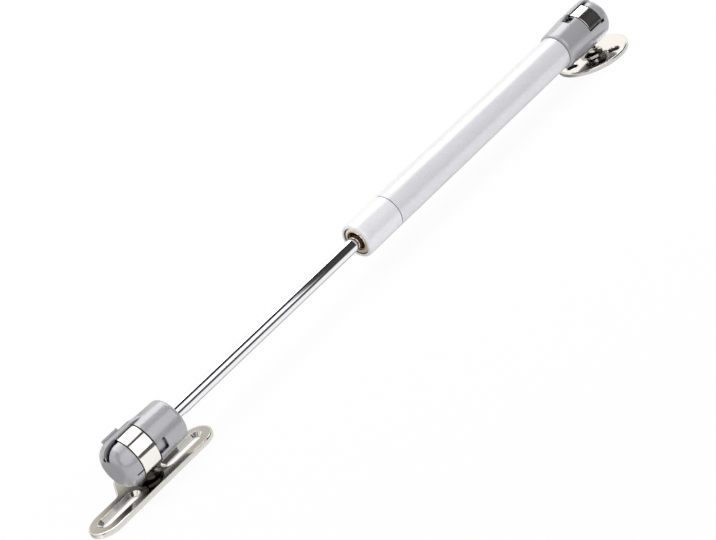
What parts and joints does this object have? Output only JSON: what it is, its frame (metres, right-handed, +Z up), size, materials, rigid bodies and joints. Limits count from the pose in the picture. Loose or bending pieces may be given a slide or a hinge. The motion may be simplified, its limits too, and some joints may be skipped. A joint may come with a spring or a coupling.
{
  "type": "gas spring stay",
  "caption": "Gas strut lid stay with plastic ball sockets; one ball stud on a round screw plate, the other on a plate with two long adjusting slots.",
  "frame": {"origin": "centre of the round plate's underside, which screws to the cabinet", "axes": "+X along the rod from the cylinder's ball to the rod's ball, +Z up out of the plates along the ball studs, +Y square to both"},
  "size_m": [0.3493, 0.0382, 0.0262],
  "materials": {
    "sleeve_white": "smooth satin white",
    "socket_grey": "semi-gloss moulded grey plastic",
    "clip_steel": "bright nickel-plated spring steel",
    "plate_steel": "bright nickel-plated pressed steel",
    "stud_steel": "bright nickel-plated turned steel",
    "rod_chrome": "hard chrome, ground and polished",
    "tube_steel": "yellow-passivated steel",
    "guide_bronze": "plain sintered bronze",
    "seal_rubber": "black nitrile rubber",
    "plug_steel": "turned steel",
    "washer_steel": "stamped steel",
    "piston_metal": "turned aluminium",
    "ring_plastic": "low-friction plastic"
  },
  "bodies": {
    "cylinder": {"outer_sleeve": "sleeve_white", "front_sleeve": "sleeve_white", "gas_tube": "tube_steel", "end_plug": "plug_steel", "plug_o_ring": "seal_rubber", "rod_guide": "guide_bronze", "rod_seal": "seal_rubber", "seal_washer": "washer_steel", "cylinder_socket": "socket_grey", "cylinder_clip": "clip_steel"},
    "sliding_ring": {"piston_ring": "ring_plastic"},
    "rod": {"piston_rod": "rod_chrome", "piston": "piston_metal", "stop_washer": "washer_steel", "back_washer": "washer_steel", "rod_socket": "socket_grey", "rod_clip": "clip_steel"},
    "cylinder_stud": {"cylinder_ball_stud": "stud_steel"},
    "cabinet_plate": {"round_plate": "plate_steel"},
    "rod_stud": {"rod_ball_stud": "stud_steel"},
    "flap_plate": {"slotted_plate": "plate_steel"}
  },
  "joints": [
    {"name": "rod_slide", "type": "slide", "parent": "cylinder", "child": "sliding_ring", "axis": [-1, 0, 0], "range_m": [0, 0.1], "stiffness_N_per_m": 300, "springref_m": -0.2667},
    {"name": "rod_turn", "type": "hinge", "parent": "sliding_ring", "child": "rod", "pos_m": [0.139, 0, 0.0152], "axis": [1, 0, 0], "continuous": true},
    {"name": "cylinder_ball_tilt", "type": "hinge", "parent": "cylinder", "child": "cylinder_stud", "pos_m": [0, 0, 0.0152], "axis": [0, 1, 0], "range_deg": [-9, 9]},
    {"name": "cabinet_plate_turn", "type": "hinge", "parent": "cylinder_stud", "child": "cabinet_plate", "pos_m": [0, 0, 0], "axis": [0, 0, 1], "continuous": true},
    {"name": "rod_ball_tilt", "type": "hinge", "parent": "rod", "child": "rod_stud", "pos_m": [0.3, 0, 0.0152], "axis": [0, 1, 0], "range_deg": [-9, 9]},
    {"name": "flap_plate_turn", "type": "hinge", "parent": "rod_stud", "child": "flap_plate", "pos_m": [0.3, 0, 0], "axis": [0, 0, 1], "continuous": true}
  ]
}
